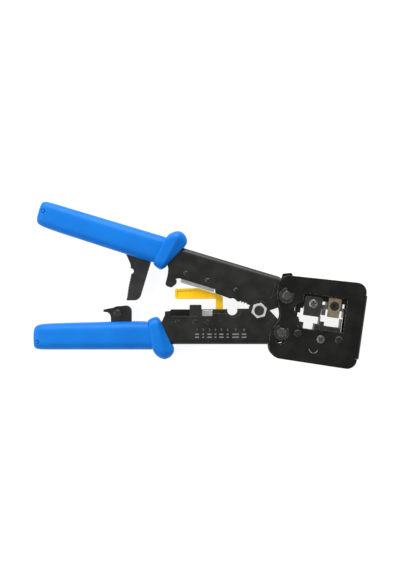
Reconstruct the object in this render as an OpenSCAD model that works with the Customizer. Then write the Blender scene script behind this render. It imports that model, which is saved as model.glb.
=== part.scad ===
// Ratchet crimping tool for modular telephone and network plugs.
//
// The tool lies on its back with its thickness along Z. The origin is on the main pivot's axis, at the
// flat face of the pivot bolt's head. +X runs from the pivot along the head, +Y to the upper arm's side.
// Each arm is drawn in its own frame, centred on the main pivot with the channel's web along X. The head
// is drawn from the middle of its pin line. Heights are counted from the tool's middle plane.

/* [Linkage] */
// Distance from the main pivot to each link pin
link_r = 19.2; // [18.4:0.1:23]
// Angle of the upper arm's link pin, seen from its own web
upper_link_angle = 45; // [44:0.5:48]
// Angle of the lower arm's link pin, seen from its own web
lower_link_angle = 44.4; // [43.5:0.1:48]
// Angle between the two arms at rest
open_angle = 16.7; // [16.2:0.1:18]
// Angle that the upper arm is squeezed through
squeeze_angle = 15; // [10:0.5:15]
// Radius of the two link pins
pin_r = 2.75; // [2.2:0.05:3.3]
// Radius of the main pivot bolt
bolt_r = 2.95; // [2.4:0.05:3.5]
// Radial running clearance of a pin in its hole
run_fit = 0.05; // [0.02:0.01:0.09]
// Radial clearance of the upper pin in the upper arm, where the linkage has its play
link_play = 0.15; // [0.12:0.01:0.25]

/* [Arms] */
// Sheet thickness of both arms
arm_wall = 1.8; // [1.4:0.1:2.2]
// Width over the upper arm's two walls
upper_w = 14; // [13:0.5:17]
// Side clearance of the upper arm inside the lower arm
nest_gap = 0.2; // [0.15:0.05:0.4]
// Outer bend radius of the arm channels
bend_r = 3; // [2.4:0.1:3.6]
// Height of the upper arm's web above the pivot
upper_rise = 23.5; // [22:0.1:26]
// Depth of the lower arm's web below the pivot
lower_drop = 20.8; // [20.2:0.1:24]
// Radius of the ear around each pivot
ear_r = 6.2; // [5.6:0.1:6.6]

/* [Handles] */
// Reach of the upper grip behind the pivot
upper_reach = 147.3; // [122:0.1:177]
// Reach of the lower grip behind the pivot
lower_reach = 138.7; // [115:0.1:167]
// Thickness of the grips
grip_w = 22.4; // [20:0.2:24]
// Soft wall over the channel's web
grip_skin = 3.3; // [2.6:0.1:4]
// Soft wall beyond the end of the steel
grip_end = 5; // [4:0.5:7]
// Height of each grip beside its collar
grip_h = 17.2; // [15:0.1:20]
// How much lower a grip is at its end than beside its collar
grip_taper = 2.4; // [1:0.1:3.5]
// Height of the steel channels inside the grips
tail_h = 11.3; // [10:0.1:12]

/* [Ratchet] */
// Radius of the toothed edge about the main pivot
rack_r = 81.8; // [78:0.1:86]
// Thickness of the rack and of the pawl
rack_t = 3; // [2.4:0.1:3.6]
// Pitch of the teeth along the edge
tooth_pitch = 1.05; // [0.9:0.05:1.3]
// Number of teeth
tooth_count = 13; // [9:1:13]
// Depth of a tooth
tooth_depth = 0.55; // [0.4:0.05:0.7]
// Gap between the pawl's nose and the tooth tips
pawl_gap = 0.25; // [0.2:0.05:0.4]

/* [Head] */
// Reach of the head's folded end in front of the pin line
head_reach = 49.2; // [46:0.1:59]
// Sheet thickness of the head
plate_t = 2; // [1.6:0.1:2.4]
// Height of the head's top edge above the pivot line
head_top = 24.6; // [24:0.1:29]
// Depth of the head's bottom edge below the pivot line
head_bottom = 27.4; // [26:0.1:32]
// Width of the large plug that the first nest holds
plug_8_w = 11.7; // [9.8:0.1:12]
// Width of the small plug that the second nest holds
plug_6_w = 9.65; // [8:0.05:10]
// Play of a plug in its nest, over both sides
plug_play = 0.4; // [0.2:0.1:0.6]
// Thickness of the trimming blades
trim_t = 1.5; // [1.2:0.1:1.8]

/* [Hidden] */
$fn = 64;

// The head bisects the angle between the two link pins, and the arms lie each side of it.
half_angle = (upper_link_angle + lower_link_angle - open_angle) / 2;
lower_turn = lower_link_angle - half_angle;
upper_turn = half_angle - upper_link_angle;
pin_x = link_r * cos(half_angle);
pin_y = link_r * sin(half_angle);
travel = 2 * link_r * (sin(half_angle + squeeze_angle / 2) - sin(half_angle));
lower_pin_at = link_r * [cos(lower_link_angle), -sin(lower_link_angle)];
upper_pin_at = link_r * [cos(upper_link_angle), sin(upper_link_angle)];
lobe_r = pin_r + 3.2;

// Half widths, from the inside out.
upper_out = upper_w / 2;
upper_in = upper_out - arm_wall;
lower_in = upper_out + nest_gap;
lower_out = lower_in + arm_wall;
head_in = lower_out + nest_gap;
head_out = head_in + plate_t;
jaw_out = head_in - 0.3;
clip_t = 0.7;
clip_gap = 0.1;
pin_stub = 0.2;
half_t = head_out + clip_gap + clip_t + pin_stub;

// Places along the arms, from the main pivot.
collar_x = 60;
strip_x0 = 28.6;
strip_x1 = 54.2;
guard_at = [-24.3, -5.5];
guard_half = 3.5;
guard_pin_r = 1.2;
cable_at = [-16.3, 0.1];
cable_r = 3.2;
notch_at = [-17, -0.75];
rivet_r = 1.25;
head_step = 0.25;
blade_t = 1.2;
stop_x0 = -42.7;
stop_len = 7.4;
rack_x0 = -rack_r - 6.8;
rack_x1 = -rack_r + 9.5;
rack_rivets_at = [[-rack_r - 3, 17], [-rack_r + 5.8, 17]];
pawl_at = [-rack_r - 5.25, -1.76];
bracket_in = rack_t / 2 + 1.9;
bracket_t = 1.5;
slot_half = bracket_in + bracket_t + 0.5;
bracket_rivets_x = [-rack_r + 1.2, -rack_r - 5.9];
// Half the flat width of the lower web, between its inner bends.
web_flat = lower_in - bend_r + arm_wall - 0.1;

// Places in the head, from the middle of the pin line.
nest_8_x = 15.9;
nest_6_x = 30.1;
floor_8 = -3.3;
floor_6 = -3.7;
latch_w = 6.8;
latch_h = 3.8;
bar_y = 10.9;
bar_top = 17.2;
die_y = 6.4;
spacer_y = 2.6;
window_x1 = 37.3;
window_top = 14.5;
window_floor = -6.2;
fold_r = 3;
fold_y0 = -21.2;
fold_y1 = 18.1;
web_x = lobe_r + 0.35;
web_t = 1.8;
nest_x0 = web_x + web_t + 0.2;
nest_low = -17;
cavity_8 = (plug_8_w + plug_play) / 2;
cavity_6 = (plug_6_w + plug_play) / 2;
fin_t = 0.5;
split_x = nest_8_x + cavity_8 + fin_t + 0.15;
wall_6_x = nest_6_x + cavity_6;
contact_pitch = 1.02;
contact_t = 0.5;
contact_tip = 5;
screw_r = 1.4;
trim_8_at = [17.0, 8.6];
trim_6_at = [30.0, 9.0];
nest_rivets_at = [[9.9, -10.7], [35.4, -11.1]];
nest_screw_at = [24.3, -12.3];

// ---- frames and outlines --------------------------------------------------------------------

module in_lower() translate([0, 0, half_t]) rotate(lower_turn) children();
module in_upper() translate([0, 0, half_t]) rotate(upper_turn) children();
module in_head() translate([pin_x, 0, half_t]) children();

// A flat outline made solid between two heights.
module slab(z0, z1) translate([0, 0, z0]) linear_extrude(z1 - z0) children();

// A flat outline made into a pair of plates, one each side of the middle plane.
module both_sides(z0, z1) {
    slab(z0, z1) children();
    slab(-z1, -z0) children();
}

// A cross section, drawn with Y first and Z second, made solid along X.
module along_x(x0, x1) translate([x0, 0, 0]) rotate([90, 0, 90]) linear_extrude(x1 - x0) children();

// A rod that stands across the tool.
module rod(at, r, z0, z1) translate([at[0], at[1], z0]) cylinder(h = z1 - z0, r = r);

module rect(x0, y0, x1, y1) translate([x0, y0]) square([x1 - x0, y1 - y0]);

function unit(v) = v / norm(v);

// Where the rounding of corner i starts and ends, its centre, and which way the outline turns there.
function corner(pts, i, r) =
    let (
        n = len(pts),
        before = pts[(i + n - 1) % n],
        here = pts[i],
        after = pts[(i + 1) % n],
        u = unit(before - here),
        v = unit(after - here),
        half = acos(u * v) / 2
    )
    [
        here + u * r / tan(half),
        here + v * r / tan(half),
        here + unit(u + v) * r / sin(half),
        cross(here - before, after - here)
    ];

// A closed outline, listed anticlockwise, whose corner i is rounded to radii[i] with a true arc.
module rounded(pts, radii) {
    corners = [for (i = [0:len(pts) - 1]) corner(pts, i, radii[i])];
    difference() {
        union() {
            polygon([
                for (i = [0:len(pts) - 1])
                    each (radii[i] > 0 ? [corners[i][0], corners[i][1]] : [pts[i]])
            ]);
            for (i = [0:len(pts) - 1])
                if (radii[i] > 0 && corners[i][3] > 0) translate(corners[i][2]) circle(radii[i]);
        }
        for (i = [0:len(pts) - 1])
            if (radii[i] > 0 && corners[i][3] < 0) translate(corners[i][2]) circle(radii[i]);
    }
}

module rounded_box(x0, y0, x1, y1, r)
    rounded([[x0, y0], [x1, y0], [x1, y1], [x0, y1]], [r, r, r, r]);

// The section of an arm: a U of sheet whose web stands on the first axis's zero.
module channel_section(half_w, depth)
    difference() {
        rounded([[0, -half_w], [depth, -half_w], [depth, half_w], [0, half_w]], [bend_r, 0, 0, bend_r]);
        rounded(
            [
                [arm_wall, arm_wall - half_w], [depth + 1, arm_wall - half_w],
                [depth + 1, half_w - arm_wall], [arm_wall, half_w - arm_wall]
            ],
            [bend_r - arm_wall, 0, 0, bend_r - arm_wall]
        );
    }

// ---- lower arm, which everything else hangs on -----------------------------------------------

// The lower arm's outline from the side. The front wall is cut lower than the back one.
module lower_outline(front) {
    blade_edge = front ? -3.4 : 0.5;
    block_edge = front ? -1.8 : 0.5;
    tail = -lower_drop + tail_h;
    polygon([
        [-lower_reach + grip_end, -lower_drop],
        [ear_r, -lower_drop],
        lower_pin_at - [0, lobe_r],
        lower_pin_at + [0, lobe_r],
        [ear_r, 0.4],
        [0, 0.95],
        [-19.8, 0.95],
        [-19.8, block_edge],
        [-strip_x0, block_edge],
        [-strip_x0, blade_edge],
        [-strip_x1, blade_edge],
        [-strip_x1 - 0.5, -0.4],
        [-collar_x + 2.2, -0.7],
        [-collar_x + 2.1, -2.9],
        [-collar_x - 0.3, tail + 1.5],
        [-collar_x - 2, tail],
        [-lower_reach + grip_end, tail]
    ]);
}

module lower_wall(front)
    difference() {
        union() {
            lower_outline(front);
            circle(ear_r);
            translate(lower_pin_at) circle(lobe_r);
        }
        circle(bolt_r + run_fit);
        translate(lower_pin_at) circle(pin_r + run_fit);
        if (front) translate(cable_at + [1, 0]) circle(cable_r + 1.4);
        if (!front) translate(cable_at) circle(cable_r);
    }

module lower_rivets_at()
    for (x = [-50.1, -39.3, -31.8])
        translate([x, -7]) children();

module lower_arm()
    color("#2b2b2d") in_lower()
    difference() {
        intersection() {
            along_x(-lower_reach, link_r + lobe_r)
                translate([-lower_drop, 0]) channel_section(lower_out, lower_drop + ear_r + 1);
            union() {
                slab(0, lower_out + 1) lower_wall(true);
                slab(-lower_out - 1, 0) lower_wall(false);
            }
        }
        for (x = bracket_rivets_x)
            translate([x, -lower_drop - 1, 0])
                rotate([-90, 0, 0]) cylinder(h = arm_wall + 2, r = rivet_r + run_fit);
        slab(lower_in - 1, lower_out + 1) lower_rivets_at() circle(rivet_r + run_fit);
        slab(-lower_out - 1, lower_out + 1) translate(guard_at) circle(guard_pin_r + run_fit);
        // The web stays clear of the jaw's knuckle.
        slab(-lower_in, lower_in) translate(lower_pin_at) circle(lobe_r - 0.4);
        // The pressed step beside the ear.
        translate([6.4, -5.2, lower_out - 0.5])
            rotate(40) translate([-4.2, -0.6, 0]) cube([8.4, 1.2, 1]);
    }

// ---- upper arm ------------------------------------------------------------------------------

module upper_outline() {
    tail = upper_rise - tail_h;
    polygon([
        [-upper_reach + grip_end, upper_rise],
        [-upper_reach + grip_end, tail],
        [-collar_x - 3, tail],
        [-collar_x - 0.9, 8.8],
        [-collar_x - 0.1, 5.3],
        [-collar_x + 0.2, -1.1],
        [-collar_x + 1.4, -2.0],
        [-collar_x + 4.2, -2.1],
        [-collar_x + 5.9, 1.4],
        [-collar_x + 5.2, 3.8],
        [-collar_x + 7.3, 4.8],
        [-29.6, 4.8],
        [-28.7, 2.4],
        [-14, 1.5],
        [0, 1.5],
        [ear_r, 1.8],
        upper_pin_at + lobe_r * [cos(-30), sin(-30)],
        upper_pin_at + [0, lobe_r],
        [ear_r - 0.4, upper_rise]
    ]);
}

module upper_rivets_at()
    for (at = [[-49.7, 9], [-35.6, 8.6], [-17.2, 8]])
        translate(at) children();

module upper_arm()
    color("#2d2d2f") in_upper()
    difference() {
        intersection() {
            along_x(-upper_reach, link_r + lobe_r)
                mirror([1, 0]) translate([-upper_rise, 0])
                    channel_section(upper_out, upper_rise + ear_r + 1);
            slab(-upper_out - 1, upper_out + 1)
                difference() {
                    union() {
                        upper_outline();
                        circle(ear_r);
                        translate(upper_pin_at) circle(lobe_r);
                    }
                    circle(bolt_r + run_fit);
                    translate(upper_pin_at) circle(pin_r + link_play);
                    translate(notch_at) circle(cable_r + 0.1);
                    for (x = [-12.4, -10.6, -8.9])
                        translate([x, 1.5]) circle(0.75);
                }
        }
        slab(-upper_out - 1, upper_out + 1)
            for (at = rack_rivets_at) translate(at) circle(rivet_r + run_fit);
        slab(upper_in - 1, upper_out + 1) upper_rivets_at() circle(rivet_r + run_fit);
        // The pressed step beside the head.
        translate([4.1, 9.4, upper_out - 0.4]) cube([0.8, 10.4, 1]);
    }

// ---- grips ----------------------------------------------------------------------------------

// A sleeve over an arm whose web is at y = -web, with its collar at the head end.
module grip(reach, web, shift) {
    low = -web - grip_skin;
    high = low + grip_h;
    intersection() {
        slab(-grip_w, grip_w)
            rounded(
                [
                    [-reach, low], [-collar_x - shift, low],
                    [-collar_x - shift, high], [-reach, high - grip_taper]
                ],
                [4, 0, 0, 3.4]
            );
        along_x(-reach - 1, -collar_x + 1)
            rounded_box(low, -grip_w / 2, high, grip_w / 2, 5);
    }
    translate([-shift, -web, 0]) {
        slab(-half_t, half_t)
            rounded(
                [
                    [-67.4, 14.2], [-64.4, -4.8], [-58.2, -9.3], [-52.4, -6],
                    [-54.4, 1], [-60.6, 16.6], [-63, 16.9]
                ],
                [1.5, 3, 3.5, 2.5, 0, 1.5, 1]
            );
        slab(-lower_out - 1.6, lower_out + 1.6)
            rounded(
                [[-58.2, -8.5], [-50.8, -6.5], [-51, -1.6], [-58.4, 16.6], [-60.6, 16.6]],
                [0, 2.5, 2, 0.5, 0]
            );
    }
}

module lower_grip()
    color("#0a6fd8") in_lower()
    difference() {
        grip(lower_reach, lower_drop, 0);
        slab(-lower_out, lower_out) lower_outline(false);
        // The slot that the pawl stands in and the rack comes down through.
        slab(-slot_half, slot_half)
            rect(pawl_at[0] - 5.5, -lower_drop + tail_h - 1, rack_x1 + 2, 0);
    }

module upper_grip()
    color("#0a6fd8") in_upper()
    difference() {
        mirror([0, 1, 0]) grip(upper_reach, upper_rise, 2.2);
        slab(-upper_out, upper_out) upper_outline();
        slab(-rack_t, rack_t) rect(rack_x0 - 1, 0, rack_x1 + 1, upper_rise - tail_h + 1);
    }

// ---- main pivot -----------------------------------------------------------------------------

module pivot_bolt()
    color("#55565a") translate([0, 0, half_t]) {
        rod([0, 0], bolt_r, -lower_out, half_t - pin_stub);
        rotate_extrude()
            rounded(
                [[0, -half_t], [5.2, -half_t], [5.2, -lower_out], [0, -lower_out]],
                [0, 0.8, 0, 0]
            );
    }

module pivot_nut()
    color("#d8d9dc") translate([0, 0, half_t])
    difference() {
        intersection() {
            translate([0, 0, lower_out]) rotate(22)
                cylinder(h = half_t - lower_out - 0.5, r = bolt_r + 1.95, $fn = 6);
            translate([0, 0, lower_out]) cylinder(h = half_t, r1 = bolt_r + 4.7, r2 = bolt_r + 1.2);
        }
        rod([0, 0], bolt_r + run_fit, 0, half_t);
    }

// A torsion spring: close turns round the bolt and a leg into each arm.
module return_spring() {
    wire = 0.7;
    turn_r = bolt_r + 1.4;
    turns = 5;
    color("#8d9096") {
        translate([0, 0, half_t])
            for (i = [0:turns - 1])
                translate([0, 0, (i - (turns - 1) / 2) * wire * 1.9])
                    rotate_extrude() translate([turn_r, 0]) circle(wire, $fn = 24);
        in_lower()
            translate([0, -turn_r, -(turns - 1) / 2 * wire * 1.9])
                rotate([0, -90, 0]) rotate([37, 0, 0]) cylinder(h = 19, r = wire, $fn = 24);
        in_upper()
            translate([0, turn_r, (turns - 1) / 2 * wire * 1.9])
                rotate([0, -90, 0]) rotate([-42, 0, 0]) cylinder(h = 19, r = wire, $fn = 24);
    }
}

// ---- head -----------------------------------------------------------------------------------

// The flap of the head on either side, with lobes round the pins and a waist between them.
module flap()
    rounded(
        [
            [-6.6, -head_bottom], [head_reach - 1.2, -head_bottom - 0.6],
            [head_reach - 0.9, head_top + 1], [-6, head_top - 0.9],
            [-6.1, pin_y - 0.4], [-1.6, -2.3], [-7, -pin_y - 0.5]
        ],
        [8, 6, 6, 7, 8, 8, 4]
    );

module window() {
    rect(nest_8_x - cavity_8 - 0.7, window_floor, window_x1, 3);
    rounded_box(10.5, -1, window_x1, window_top, 0.6);
    translate([10.7, 4]) circle(4.9);
    rect(nest_8_x - latch_w / 2, floor_8 - latch_h, nest_8_x + latch_w / 2, 0);
    for (x = [10.6, 23.8]) translate([x, window_floor + 0.6]) circle(1.2);
}

module head_housing()
    color("#262628") in_head()
    difference() {
        union() {
            both_sides(head_in, head_out)
                difference() {
                    flap();
                    rect(head_reach - fold_r, fold_y0, head_reach + 1, fold_y1);
                }
            translate([0, fold_y1, 0]) rotate([90, 0, 0])
                linear_extrude(fold_y1 - fold_y0)
                    difference() {
                        rounded(
                            [
                                [38, -head_out], [head_reach, -head_out],
                                [head_reach, head_out], [38, head_out]
                            ],
                            [0, fold_r, fold_r, 0]
                        );
                        rounded(
                            [
                                [37, -head_in], [head_reach - plate_t, -head_in],
                                [head_reach - plate_t, head_in], [37, head_in]
                            ],
                            [0, fold_r - plate_t, fold_r - plate_t, 0]
                        );
                    }
            // A small ear on the back flap.
            slab(-head_out, -head_in)
                rounded(
                    [[-4, head_top - 3], [4, head_top - 3], [2, head_top + 1.4], [-3.6, head_top]],
                    [0, 0, 1.2, 0.8]
                );
        }
        slab(-half_t, half_t) {
            window();
            translate([0, pin_y]) circle(pin_r + run_fit);
            for (at = nest_rivets_at) translate(at) circle(screw_r + run_fit);
            translate(nest_screw_at) circle(screw_r + run_fit);
            // The slots that the lower pin slides in.
            translate([0, -pin_y]) circle(pin_r + 0.15);
            translate([0, -pin_y - travel - 0.3]) circle(pin_r + 0.15);
            rect(-pin_r - 0.15, -pin_y - travel - 0.3, pin_r + 0.15, -pin_y);
        }
    }

// The moving jaw hangs on the lower pin and slides between the flaps.
module die_jaw()
    color("#2f2f31") in_head()
    difference() {
        union() {
            slab(-jaw_out, jaw_out)
                polygon([
                    [web_x, -14], [web_x + web_t, -14], [web_x + web_t, 2.2],
                    [nest_8_x - cavity_8 - 0.25, 2.2], [nest_8_x - cavity_8 - 0.25, 5.2],
                    [11.2, 5.2], [11.2, bar_y], [window_x1 + 1.2, bar_y], [window_x1 + 1.2, 8.4],
                    [wall_6_x + 0.9, 8.4], [wall_6_x + 0.9, spacer_y], [window_x1 + 3.7, spacer_y],
                    [window_x1 + 3.7, bar_top], [web_x + 0.6, bar_top], [web_x + 0.6, 0.5], [web_x, -1]
                ]);
            slab(-web_flat, web_flat) {
                translate([0, -pin_y]) circle(lobe_r - 0.7);
                polygon([
                    [0, -pin_y - lobe_r + 0.7], [web_x + 1, -14],
                    [web_x + 1, -5.9], [0, -pin_y + lobe_r - 0.7]
                ]);
            }
        }
        rod([0, -pin_y], pin_r + run_fit, -half_t, half_t);
    }

// The row of thin blades that press the plug's contacts down.
module contact_row(x, count)
    for (i = [0:count - 1])
        translate([x + (i - (count - 1) / 2) * contact_pitch - contact_t / 2, contact_tip, 3])
            cube([contact_t, die_y + 0.6 - contact_tip, 4.5]);

module die_8p()
    color("#6d6f73") in_head()
    difference() {
        slab(-jaw_out, jaw_out) rect(11.4, die_y, nest_8_x + cavity_8 - 0.1, bar_y);
        contact_row(nest_8_x, 8);
        rod(trim_8_at, screw_r + run_fit, 0, half_t);
    }

module die_6p()
    color("#6d6f73") in_head()
    difference() {
        slab(-jaw_out, jaw_out) {
            rect(split_x + 2.4, die_y, wall_6_x - 0.3, bar_y);
            rect(split_x + 0.2, spacer_y, split_x + 2.4, 9);
        }
        contact_row(nest_6_x, 6);
        rod(trim_6_at, screw_r + run_fit, 0, half_t);
    }

module contact_blades_8p() color("#b9bcc2") in_head() contact_row(nest_8_x, 8);
module contact_blades_6p() color("#b9bcc2") in_head() contact_row(nest_6_x, 6);

module trim_blade_8p()
    color("#3c3c40") in_head()
    difference() {
        slab(jaw_out, jaw_out + trim_t)
            rounded([[11.5, 1.1], [21.9, 1.1], [22.5, 13], [11.3, 13]], [0.4, 0.4, 1.5, 1.5]);
        rod(trim_8_at, screw_r + run_fit, 0, half_t);
    }

module trim_blade_6p()
    color("#94825c") in_head()
    difference() {
        slab(jaw_out, jaw_out + trim_t)
            rounded([[26.2, 2], [33.4, 2], [33.9, 14], [25.9, 14]], [0.4, 0.4, 0.6, 0.6]);
        rod(trim_6_at, screw_r + run_fit, 0, half_t);
        translate([trim_6_at[0], trim_6_at[1], jaw_out + trim_t - 1])
            cylinder(h = 1.01, r1 = screw_r + run_fit, r2 = 3.1);
    }

// A crossed recess, sunk from z downwards.
module cross_recess(z, r)
    for (a = [0, 90])
        translate([0, 0, z]) rotate(a + 20) translate([-r, -r * 0.2, -0.6]) cube([2 * r, r * 0.4, 1]);

module trim_screw_8p()
    color("#c9cbd0") in_head() translate(concat(trim_8_at, 0))
    difference() {
        union() {
            rod([0, 0], screw_r, 0.5, jaw_out + trim_t);
            translate([0, 0, jaw_out + trim_t]) cylinder(h = 0.9, r1 = 2.9, r2 = 2.4);
        }
        cross_recess(jaw_out + trim_t + 0.9, 1.5);
    }

module trim_screw_6p()
    color("#3a3a3d") in_head() translate(concat(trim_6_at, 0))
    difference() {
        union() {
            rod([0, 0], screw_r, 0.5, jaw_out + trim_t);
            translate([0, 0, jaw_out + trim_t - 0.95]) cylinder(h = 0.95, r1 = screw_r, r2 = 2.9);
        }
        cross_recess(jaw_out + trim_t, 1.3);
    }

// The fixed nest for the large plug, with the slot for the plug's latch.
module nest_8p()
    color("#3a3b3e") in_head()
    difference() {
        union() {
            slab(-head_in, head_in) {
                rect(nest_x0, nest_low, split_x, floor_8);
                rect(nest_x0, floor_8 - 1, nest_8_x - cavity_8, -1.8);
            }
            slab(-jaw_out + 0.1, jaw_out - 0.1)
                rect(nest_8_x + cavity_8, floor_8 - 1, nest_8_x + cavity_8 + fin_t, 1.7);
        }
        slab(-half_t, half_t)
            rect(nest_8_x - latch_w / 2, floor_8 - latch_h, nest_8_x + latch_w / 2, 0);
        rod(nest_rivets_at[0], screw_r + run_fit, -half_t, half_t);
    }

// The fixed nest for the small plug. Its latch slot stops short of the front face.
module nest_6p()
    color("#3a3b3e") in_head()
    difference() {
        slab(-head_in, head_in) {
            rect(split_x + 0.1, nest_low, window_x1 + 1, window_floor - 0.3);
            rect(split_x + 0.1, window_floor - 1, wall_6_x + 0.6, floor_6);
            rect(split_x + 0.1, floor_6 - 1, nest_6_x - cavity_6, -1.4);
            rect(wall_6_x, floor_6 - 1, wall_6_x + 0.6, 1.7);
        }
        slab(-half_t, head_in - 3.5) rect(nest_6_x - 3.1, floor_6 - 3, nest_6_x + 3.1, floor_6 + 1);
        rod(nest_rivets_at[1], screw_r + run_fit, -half_t, half_t);
        rod(nest_screw_at, screw_r + run_fit, -half_t, half_t);
    }

module nest_rivets()
    color("#1d1d1f") in_head()
    for (at = nest_rivets_at) {
        rod(at, screw_r, -head_out - 0.4, head_out + 0.4);
        rod(at, 2.4, head_out, head_out + 0.4);
        rod(at, 2.4, -head_out - 0.4, -head_out);
    }

module nest_screw()
    color("#8f9196") in_head() translate(concat(nest_screw_at, 0))
    difference() {
        union() {
            rod([0, 0], screw_r, -head_out + 0.4, head_out);
            translate([0, 0, head_out]) cylinder(h = 0.8, r1 = 2.6, r2 = 2.1);
        }
        cross_recess(head_out + 0.8, 1.4);
    }

// A link pin with a groove near each end.
module link_pin(at)
    difference() {
        rod(at, pin_r, -half_t, half_t);
        for (s = [-1, 1])
            translate([at[0], at[1], s * (head_out + clip_gap + clip_t / 2)])
                difference() {
                    cylinder(h = clip_t + 0.1, r = pin_r + 1, center = true);
                    cylinder(h = clip_t + 0.2, r = pin_r - 0.7, center = true);
                }
    }

// A spring clip that snaps into a pin's groove, open on one side.
module clip_pair(at, opening)
    translate(concat(at, 0)) rotate(opening)
        both_sides(head_out + clip_gap, head_out + clip_gap + clip_t)
            difference() {
                circle(pin_r + 1.9);
                circle(pin_r - 0.65);
                polygon([[0, 0], [9, -6.2], [9, 6.2]]);
                for (a = [115, 245]) rotate(a) translate([pin_r - 0.2, 0]) circle(0.8);
            }

module upper_pin() color("#77797e") in_head() link_pin([0, pin_y]);
module lower_pin() color("#77797e") in_lower() link_pin(lower_pin_at);
module upper_clips() color("#4a4b4f") in_head() clip_pair([0, pin_y], 62);
module lower_clips() color("#4a4b4f") in_lower() clip_pair(lower_pin_at, 70);

// ---- ratchet --------------------------------------------------------------------------------

module ratchet_rack()
    color("#303033") in_upper()
    slab(-rack_t / 2, rack_t / 2)
        difference() {
            rounded(
                [
                    [rack_x1, upper_rise - arm_wall - 1.2], [rack_x0, upper_rise - arm_wall - 1.2],
                    [rack_x0, 9.9], [-rack_r - 1.6, 3.8], [-rack_r - 1.1, -1.4], [-rack_r - 1.4, -9],
                    [-rack_r + 1.8, -17.6], [rack_x1, -15.3]
                ],
                [1, 1, 0, 6, 0, 0, 0, 4.5]
            );
            translate([-rack_r - 0.7, 0.5]) circle(1.7);
            // The toothed edge is an arc about the main pivot.
            difference() {
                rect(-rack_r - 5, -20, -rack_r + 8, -0.6);
                circle(rack_r, $fn = 128);
            }
            for (i = [0:tooth_count - 1])
                rotate(atan(2.6 / rack_r) + i * tooth_pitch / rack_r * 180 / PI)
                    polygon([
                        [-rack_r - 0.1, 0], [-rack_r + tooth_depth, -tooth_pitch * 0.25],
                        [-rack_r - 0.1, -tooth_pitch * 0.8]
                    ]);
            for (at = rack_rivets_at) translate(at) circle(rivet_r + run_fit);
        }

module rack_rivets()
    color("#5b5c60") in_upper()
    for (at = rack_rivets_at) {
        rod(at, rivet_r, -upper_out, upper_out);
        both_sides(rack_t / 2, upper_in) translate(at) circle(rivet_r + 1.2);
    }

// Two upright cheeks on a base that is riveted into the lower channel.
module pawl_bracket()
    color("#2e2e31") in_lower()
    difference() {
        union() {
            both_sides(bracket_in, bracket_in + bracket_t) {
                translate(pawl_at) circle(4.3);
                translate([-rack_r - 0.3, -0.6]) circle(3.6);
                polygon([
                    [pawl_at[0] - 3.4, -lower_drop + arm_wall], [-rack_r + 3.3, -lower_drop + arm_wall],
                    [-rack_r + 3.3, -0.6], [-rack_r - 0.3, 3], pawl_at + [0, 4.3], pawl_at + [-4.3, 0]
                ]);
            }
            slab(-web_flat, web_flat)
                rect(pawl_at[0] - 4.5, -lower_drop + arm_wall, -rack_r + 3.3, -lower_drop + arm_wall + 1.4);
            slab(-bracket_in - 0.5, bracket_in + 0.5)
                rect(pawl_at[0] - 4.5, -lower_drop + arm_wall, pawl_at[0] - 3.2, -8.6);
        }
        rod(pawl_at, rivet_r + 0.35 + run_fit, -half_t, half_t);
        for (x = bracket_rivets_x)
            translate([x, -lower_drop - 1, 0])
                rotate([-90, 0, 0]) cylinder(h = 5, r = rivet_r + run_fit);
    }

module bracket_rivets()
    color("#5b5c60") in_lower()
    for (x = bracket_rivets_x)
        translate([x, -lower_drop, 0])
            rotate([-90, 0, 0]) {
                cylinder(h = arm_wall + 1.4, r = rivet_r);
                translate([0, 0, arm_wall + 1.4]) cylinder(h = 0.6, r = rivet_r + 0.9);
            }

// The pawl and its finger lever in one piece. Its nose faces the toothed edge.
module pawl()
    color("#39393c") in_lower()
    slab(-rack_t / 2, rack_t / 2)
        difference() {
            translate(pawl_at)
                union() {
                    circle(3.6);
                    rounded(
                        [
                            [-3.2, -5.2], [-0.5, -5.4], [3.2, -1], [4.6, 1.2],
                            [5.4, 3.6], [3, 4.4], [0, 3.9], [-4.7, 3.1], [-8.9, 2.2],
                            [-8.9, 0.9], [-5.2, 0.4]
                        ],
                        [0.4, 0.4, 0, 0, 0.3, 0.5, 0, 0, 0.4, 0.4, 3]
                    );
                }
            circle(rack_r + pawl_gap, $fn = 128);
            translate(pawl_at) circle(rivet_r + 0.35 + run_fit);
        }

module pawl_rivet()
    color("#6a6b70") in_lower() {
        rod(pawl_at, rivet_r + 0.35, -bracket_in - bracket_t - 0.5, bracket_in + bracket_t + 0.5);
        both_sides(bracket_in + bracket_t, bracket_in + bracket_t + 0.5)
            translate(pawl_at) circle(2.1);
    }

// Close turns round the pawl's rivet, each side of the pawl.
module pawl_spring()
    color("#9a9ca1") in_lower()
    for (s = [-1, 1], i = [0, 1])
        translate([pawl_at[0], pawl_at[1], s * (rack_t / 2 + 0.5 + i * 0.75)])
            rotate_extrude() translate([rivet_r + 1.1, 0]) circle(0.4, $fn = 24);

// ---- stripping and length parts in the lower arm ------------------------------------------------

module blade_guard()
    color("#f6b800") in_lower()
    difference() {
        slab(-guard_half, guard_half)
            difference() {
                union() {
                    translate(guard_at) circle(2.5);
                    rounded(
                        [
                            [guard_at[0] - 2.1, guard_at[1]], [guard_at[0] + 2.1, guard_at[1]],
                            [-22.2, 8.7], [-26, 10.2], [-37.3, 13.7], [-51.7, 13.3],
                            [-51.7, 6.9], [-26.5, 7.2]
                        ],
                        [0, 0, 1.6, 1.8, 2.8, 1.2, 1.4, 0.8]
                    );
                }
                translate(guard_at) circle(guard_pin_r + run_fit);
            }
        slab(guard_half - 0.6, guard_half + 1)
            rounded(
                [[-50.3, 8.1], [-30, 8.3], [-30, 10.2], [-37.6, 12.4], [-50.3, 12.1]],
                [0.4, 0.4, 0.4, 2, 0.4]
            );
    }

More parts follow.
